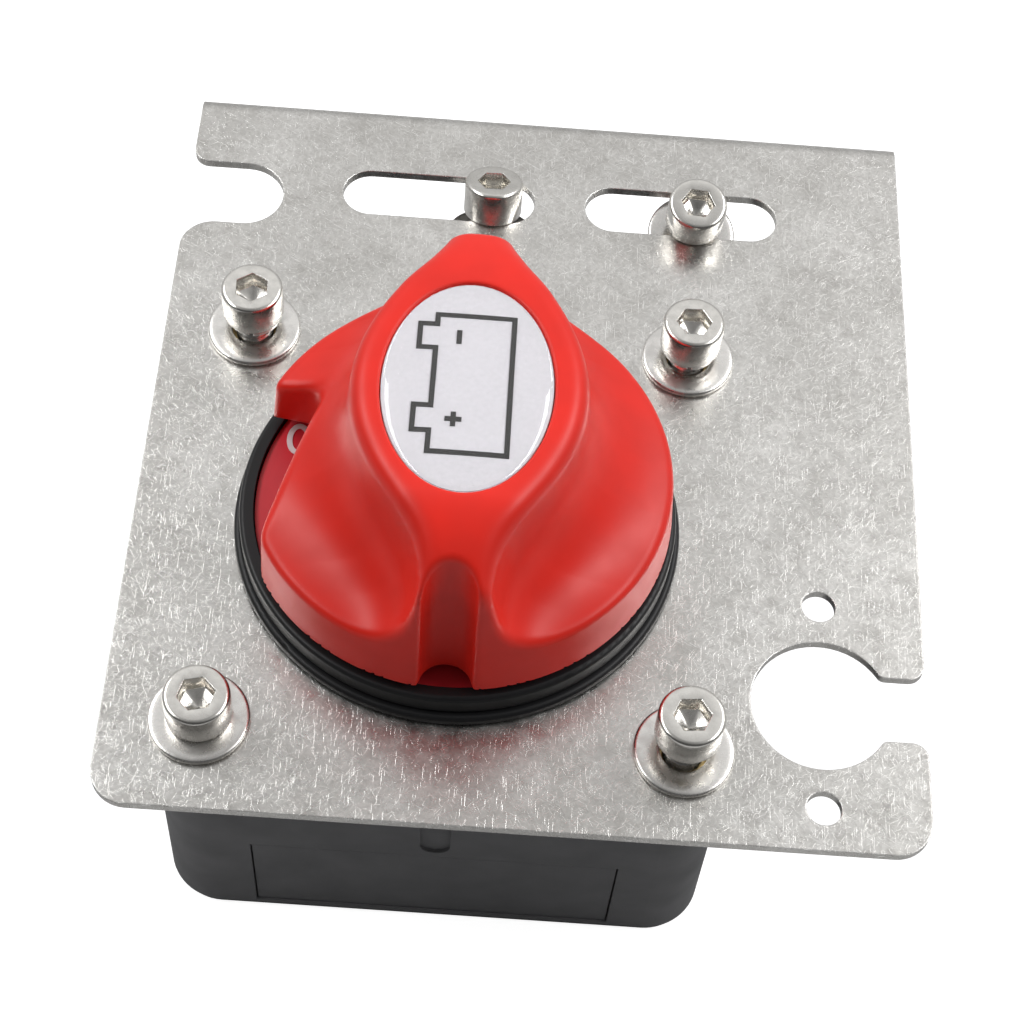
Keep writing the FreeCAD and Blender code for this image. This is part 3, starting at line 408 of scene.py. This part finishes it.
def surface_net(field, low, high, step):
    """A closed quad mesh where the field is zero: one vertex in each cell that the surface crosses."""
    axes = [np.arange(start - 2 * step, end + 3 * step, step) for start, end in zip(low, high)]
    grid = np.stack(np.meshgrid(*axes, indexing="ij"), -1)
    inside = field(grid) < 0
    cells = tuple(count - 1 for count in inside.shape)
    total = np.zeros(cells, int)
    for corner in np.ndindex(2, 2, 2):
        window = tuple(slice(shift, shift + count) for shift, count in zip(corner, cells))
        total += inside[window]
    mixed = (total > 0) & (total < 8)
    number = np.full(cells, -1)
    number[mixed] = np.arange(mixed.sum())
    points = grid[:-1, :-1, :-1][mixed] + step / 2
    quads = []
    for axis in range(3):
        first, second = (np.eye(3, dtype=int)[(axis + turn) % 3] for turn in (1, 2))
        start = np.take(inside, range(inside.shape[axis] - 1), axis)
        end = np.take(inside, range(1, inside.shape[axis]), axis)
        spots = np.argwhere(start != end)
        ring = [spots - first - second, spots - second, spots, spots - first]
        faces = np.stack([number[tuple(spot.T)] for spot in ring], 1)
        outward = start[tuple(spots.T)]
        faces[~outward] = faces[~outward][:, ::-1]
        quads.append(faces)
    return points, np.concatenate(quads)


def field_slope(field, points, reach=0.02):
    """The field's gradient at each point."""
    slopes = [field(points + reach * side) - field(points - reach * side) for side in np.eye(3)]
    return np.stack(slopes, -1) / (2 * reach)


def settle(field, points, step):
    """Move each point onto the surface, by no more than a cell's width."""
    moved = points.copy()
    for _ in range(5):
        slope = field_slope(field, moved)
        push = field(moved)[:, None] * slope / np.maximum((slope ** 2).sum(1, keepdims=True), 0.05)
        moved -= np.clip(push, -step / 2, step / 2)
    return np.clip(moved, points - step, points + step)


def new_piece(name, points, faces, finish, body):
    """A smooth-shaded mesh object, given in millimetres, that rides on a body."""
    mesh = bpy.data.meshes.new(name)
    mesh.from_pydata((np.asarray(points) * MM).tolist(), [], [list(map(int, face)) for face in faces])
    mesh.validate()
    mesh.update()
    mesh.shade_smooth()
    piece = bpy.data.objects.new(name, mesh)
    bpy.context.scene.collection.objects.link(piece)
    wear(piece, finish)
    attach(piece, body)
    return piece


def knob():
    """The knob's shell, in place of the CAD's plainer one and shaded by its field's own slope."""
    step = 0.36
    reach = SKIRT_RADIUS
    low, high = (-reach, -reach, SKIRT_FOOT), (reach, reach, RIDGE_HEIGHT)
    points, faces = surface_net(knob_field, low, high, step)
    points = settle(knob_field, points, step)
    slope = field_slope(knob_field, points)
    piece = new_piece("knob_shell", points + (0, 0, PLATE_TOP), faces, "red", "rotor")
    slope /= np.linalg.norm(slope, axis=1, keepdims=True)
    piece.data.normals_split_custom_set_from_vertices(slope.tolist())
    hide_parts("knob")


# Fasteners, built in place of the CAD's plain ones

SEGMENTS = 60
HEX_HALF = 2.0
SHANK_RADIUS = 2.4
HEAD_HEIGHT = 4.85
THREAD_PITCH = 0.8
THREAD_DEPTH = 0.38
SOCKET_DEPTH = 2.5


def islands(node_name):
    """The separate solids of a CAD node, each as its points in millimetres, ordered by where they stand."""
    mesh = nodes[node_name].data
    spots = np.array([vertex.co[:] for vertex in mesh.vertices]) / MM
    points, place_of = np.unique(spots.round(4), axis=0, return_inverse=True)
    ends = place_of.ravel()[np.array([edge.vertices[:] for edge in mesh.edges])]
    label = np.arange(len(points))
    while (label[ends[:, 0]] != label[ends[:, 1]]).any():
        lowest = label[ends].min(1)
        np.minimum.at(label, ends[:, 0], lowest)
        np.minimum.at(label, ends[:, 1], lowest)
    pieces = [points[label == name] for name in np.unique(label)]
    return sorted(pieces, key=lambda piece: (piece.mean(0)[:2] / 10).round().tolist())


def stand(points):
    """The upward axis of a turned solid, its middle, and its points' radii and heights about them."""
    middle = points.mean(0)
    spreads, directions = np.linalg.eigh(np.cov((points - middle).T))
    odd_one = 2 if spreads[2] - spreads[1] > spreads[1] - spreads[0] else 0
    axis = directions[:, odd_one]
    axis = axis if axis[2] > 0 else -axis
    heights = (points - middle) @ axis
    radii = np.linalg.norm(points - middle - np.outer(heights, axis), axis=1)
    return axis, middle, radii, heights


def put(points, origin, axis):
    """Turn points so that their Z lies along the axis, and move them to the origin."""
    side = np.cross((0.0, 1.0, 0.0), axis)
    side /= np.linalg.norm(side)
    return points @ np.stack((side, np.cross(axis, side), axis)) + origin


def ring_of(radius, height):
    """One ring of points; the radius and the height are numbers or arrays round the ring."""
    angle = np.arange(SEGMENTS) * math.tau / SEGMENTS
    return np.stack(np.broadcast_arrays(radius * np.cos(angle), radius * np.sin(angle), height), -1)


def stitched(rings, hollow=False):
    """Quads between rings: the last joins the first if it is hollow, or else both ends are filled."""
    count, rows = SEGMENTS, len(rings)
    points = np.concatenate(rings)
    after = [(index + 1) % count for index in range(count)]
    faces = []
    for row in range(rows if hollow else rows - 1):
        low, high = row * count, (row + 1) % rows * count
        faces += [(low + index, low + after[index], high + after[index], high + index)
                  for index in range(count)]
    if not hollow:
        points = np.concatenate((points, [rings[0].mean(0), rings[-1].mean(0)]))
        first, last, top = len(points) - 2, len(points) - 1, (rows - 1) * count
        faces += [(first, after[index], index) for index in range(count)]
        faces += [(last, top + index, top + after[index]) for index in range(count)]
    return points, faces


def hexagon(half_flats):
    """The radius of a hexagon at each point of a ring."""
    angle = np.arange(SEGMENTS) * 360 / SEGMENTS
    return half_flats / np.cos(np.radians(angle % 60 - 30))


def socket_screw(head_radius, length, turn):
    """A socket cap screw with a rolled thread; its origin is the middle of the head's top."""
    tip = HEAD_HEIGHT - length
    share = np.arange(SEGMENTS) / SEGMENTS
    rings = [ring_of(SHANK_RADIUS - 0.55, tip), ring_of(SHANK_RADIUS - 0.35, tip + 0.2)]
    for height in np.arange(tip + 0.3, -0.25, 0.1):
        wave = np.abs(((height / THREAD_PITCH - share) % 1) * 2 - 1)
        rings.append(ring_of(SHANK_RADIUS - THREAD_DEPTH * np.clip(wave * 1.25 - 0.12, 0, 1), height))
    outline = ((SHANK_RADIUS, -0.15), (SHANK_RADIUS + 0.1, 0.0), (head_radius - 0.25, 0.0),
               (head_radius - 0.07, 0.07), (head_radius, 0.25), (head_radius, HEAD_HEIGHT - 0.5),
               (head_radius - 0.06, HEAD_HEIGHT - 0.28), (head_radius - 0.2, HEAD_HEIGHT - 0.12),
               (head_radius - 0.42, HEAD_HEIGHT - 0.02), (head_radius - 0.55, HEAD_HEIGHT),
               (HEX_HALF + 0.36, HEAD_HEIGHT - 0.01))
    rings += [ring_of(radius, height) for radius, height in outline]
    wall = hexagon(HEX_HALF)
    floor_height = HEAD_HEIGHT - SOCKET_DEPTH
    rings += [ring_of(wall, HEAD_HEIGHT - 0.03), ring_of(wall * 0.975, HEAD_HEIGHT - 0.12)]
    rings += [ring_of(wall * 0.97, floor_height), ring_of(wall * 0.90, floor_height - 0.05),
              ring_of(1.0, floor_height - 0.55), ring_of(0.12, floor_height - 0.95)]
    points, faces = stitched(rings)
    angle = math.radians(turn)
    across, along = math.cos(angle), math.sin(angle)
    spin = np.array(((across, along, 0), (-along, across, 0), (0, 0, 1)))
    return points @ spin - (0, 0, HEAD_HEIGHT), faces


def band(inner, outer, low, high, square=4.0):
    """The rings of a washer's rounded section; a higher square gives tighter corners."""
    count = 24
    rings = []
    for step in range(count):
        angle = (step + 0.5) * math.tau / count - math.pi / 2
        across, up = math.cos(angle), math.sin(angle)
        across = math.copysign(abs(across) ** (2 / square), across)
        up = math.copysign(abs(up) ** (2 / square), up)
        rings.append(ring_of((inner + outer) / 2 + across * (outer - inner) / 2,
                             (low + high) / 2 + up * (high - low) / 2))
    return rings


def spring_washer(inner, outer, height):
    """A split washer whose ends stand apart, with its cut at the front."""
    rise = 0.25
    rings = band(inner, outer, 0.0, height - rise, 7.0)
    share = np.arange(SEGMENTS) / (SEGMENTS - 1)
    reach = math.radians(350)
    angle = math.radians(-85) + share * reach
    for ring in rings:
        radius = np.hypot(ring[:, 0], ring[:, 1])
        ring[:, 0], ring[:, 1] = radius * np.cos(angle), radius * np.sin(angle)
        ring[:, 2] += rise * share
    points, faces = stitched(rings, hollow=True)
    last = SEGMENTS - 1
    faces = [face for face in faces if not {0, last} <= {corner % SEGMENTS for corner in face}]
    starts = [row * SEGMENTS for row in range(len(rings))]
    return points, faces + [tuple(starts), tuple(start + last for start in reversed(starts))]


def nut(flats_half, bore, height):
    """A hexagon nut with both ends chamfered."""
    wall = hexagon(flats_half)
    trimmed = np.minimum(wall, flats_half + 0.02)
    slope = (wall - trimmed) * 0.58
    rings = [ring_of(trimmed, 0.0), ring_of(wall, slope), ring_of(wall, height - slope),
             ring_of(trimmed, height), ring_of(bore + 0.4, height), ring_of(bore, height - 0.4),
             ring_of(bore, 0.4), ring_of(bore + 0.4, 0.0)]
    return stitched(rings, hollow=True)


def replace_each(node_name, finish, make):
    """Stand a detailed piece on each solid of a CAD node, all in one object."""
    points, faces, total = [], [], 0
    for index, solid in enumerate(islands(node_name)):
        some_points, some_faces = make(index, solid)
        points.append(some_points)
        faces += [tuple(corner + total for corner in face) for face in some_faces]
        total += len(some_points)
    piece = new_piece(node_name + "_detailed", np.concatenate(points), faces, finish, "housing")
    piece.data.set_sharp_from_angle(angle=math.radians(32))
    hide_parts(node_name)


def screws(node_name, turns):
    """Socket screws on a node's solids, each with its socket turned by its own angle in degrees."""
    def make(index, solid):
        axis, middle, radii, heights = stand(solid)
        points, faces = socket_screw(radii.max(), np.ptp(heights), turns[index])
        return put(points, middle + axis * heights.max(), axis), faces
    replace_each(node_name, "fastener", make)


def rings_and_nuts(node_name, finish, shape):
    """Washers or nuts on a node's solids; shape makes one from its radii and height."""
    def make(_, solid):
        axis, middle, radii, heights = stand(solid)
        points, faces = shape(radii, np.ptp(heights))
        return put(points, middle + axis * heights.min(), axis), faces
    replace_each(node_name, finish, make)


def flat_washer(radii, height):
    """A flat washer with rolled edges."""
    return stitched(band(radii.min(), radii.max(), 0.0, height), hollow=True)


def fasteners():
    """Every fastener outside the base, with more detail than the CAD gives it."""
    screws("corner_screws", (15, 33, 5, 2))
    screws("slot_screws", (2, -5))
    for node_name in ("corner_washers", "slot_washers"):
        rings_and_nuts(node_name, "washer", flat_washer)
    rings_and_nuts("corner_lock_washers", "washer",
                   lambda radii, height: spring_washer(radii.min(), radii.max(), height))
    rings_and_nuts("slot_nuts", "fastener",
                   lambda radii, height: nut(radii.max() * math.cos(math.pi / 6), radii.min(), height))


def dome():
    """The clear cap on the label: nearly flat in the middle and rounded over at its border."""
    low, high = (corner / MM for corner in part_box("label_dome"))
    middle, half = (low + high) / 2, (high - low) / 2
    rings = []
    for share in np.sin(np.linspace(math.pi / 2, 0.02, 40)):
        level = (1 - share ** 3.4) ** 0.5
        ring = ring_of(share, low.z + level * (high.z - low.z))
        ring[:, :2] = ring[:, :2] * (half.x, half.y) + (middle.x, middle.y)
        rings.append(ring)
    points, faces = stitched(rings)
    piece = new_piece("label_dome_detailed", points, faces, "resin", "rotor")
    piece.data.set_sharp_from_angle(angle=math.radians(50))
    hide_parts("label_dome")


knob()
fasteners()
dome()


# Camera, light and floor

def camera():
    """The viewpoint, above and in front: its place, and where its right, up and back point."""
    spot = Vector((2.386, -140.501, 270.123)) * MM
    right = Vector((0.99742, 0.05082, 0.05061))
    up = Vector((-0.06994, 0.84541, 0.52953))
    back = Vector((-0.01587, -0.5317, 0.84678))
    lens = bpy.data.cameras.new("camera")
    lens.lens = 75.59
    lens.sensor_width = 36.0
    lens.clip_start = 0.01
    eye = bpy.data.objects.new("camera", lens)
    turn = Matrix((right, up, back)).transposed().to_4x4()
    eye.matrix_world = Matrix.Translation(spot) @ turn
    bpy.context.scene.collection.objects.link(eye)
    bpy.context.scene.camera = eye


def floor():
    """A pale matt floor that looks evenly white to the camera alone."""
    mesh = bpy.data.meshes.new("floor")
    half = 1.5
    corners = [(-half, -half, 0), (half, -half, 0), (half, half, 0), (-half, half, 0)]
    mesh.from_pydata(corners, [], [(0, 1, 2, 3)])
    ground = bpy.data.objects.new("floor", mesh)
    bpy.context.scene.collection.objects.link(ground)
    made, tree, shader = new_material("floor", Base_Color=rgb(0.50, 0.50, 0.50), Roughness=0.9)
    seen = add(tree, "ShaderNodeLightPath").outputs["Is Camera Ray"]
    glow = maths(tree, "MULTIPLY", seen, 0.88)
    finish_shader(tree, shader, Emission_Color=rgb(1, 1, 1), Emission_Strength=glow)
    mesh.materials.append(made)


def soft_light(name, spot, power):
    """A long rectangular soft box, in metres, that faces the object."""
    lamp = bpy.data.lights.new(name, "AREA")
    lamp.shape = "RECTANGLE"
    lamp.size, lamp.size_y = 0.7, 0.16
    lamp.energy = power
    holder = bpy.data.objects.new(name, lamp)
    holder.location = spot
    direction = Vector((0, 0, 0.04)) - Vector(spot)
    holder.rotation_euler = direction.to_track_quat("-Z", "Y").to_euler()
    bpy.context.scene.collection.objects.link(holder)


def sky():
    """A studio that is dark in front of the object and bright above and behind it."""
    world = bpy.data.worlds.new("studio")
    world.use_nodes = True
    bpy.context.scene.world = world
    tree = world.node_tree
    direction = add(tree, "ShaderNodeTexCoord").outputs["Generated"]
    parts = add(tree, "ShaderNodeSeparateXYZ", Vector=direction).outputs
    facing = maths(tree, "ADD", parts["Y"], maths(tree, "MULTIPLY", parts["X"], 0.15))
    facing = maths(tree, "ADD", facing, maths(tree, "MULTIPLY", parts["Z"], 0.25))
    share = maths(tree, "MULTIPLY", spread(tree, facing, -0.48, 0.70, 0.0, 1.0),
                  spread(tree, parts["Z"], 0.2, 0.80, 0.6, 1.0))
    share = maths(tree, "MULTIPLY", share, spread(tree, parts["Z"], 0.86, 0.98, 1.0, 0.5))
    tone = mix(tree, share, rgb(0.07, 0.07, 0.07), rgb(0.88, 0.88, 0.88))
    tree.links.new(tone, tree.nodes["Background"].inputs["Color"])


def lights():
    """Two soft boxes beside the object, under the studio's own light."""
    soft_light("left_box", (-0.50, 0.12, 0.60), 3.0)
    soft_light("right_box", (0.50, 0.12, 0.60), 3.35)
    sky()
    bpy.context.scene.view_settings.view_transform = "Standard"


camera()
floor()
lights()
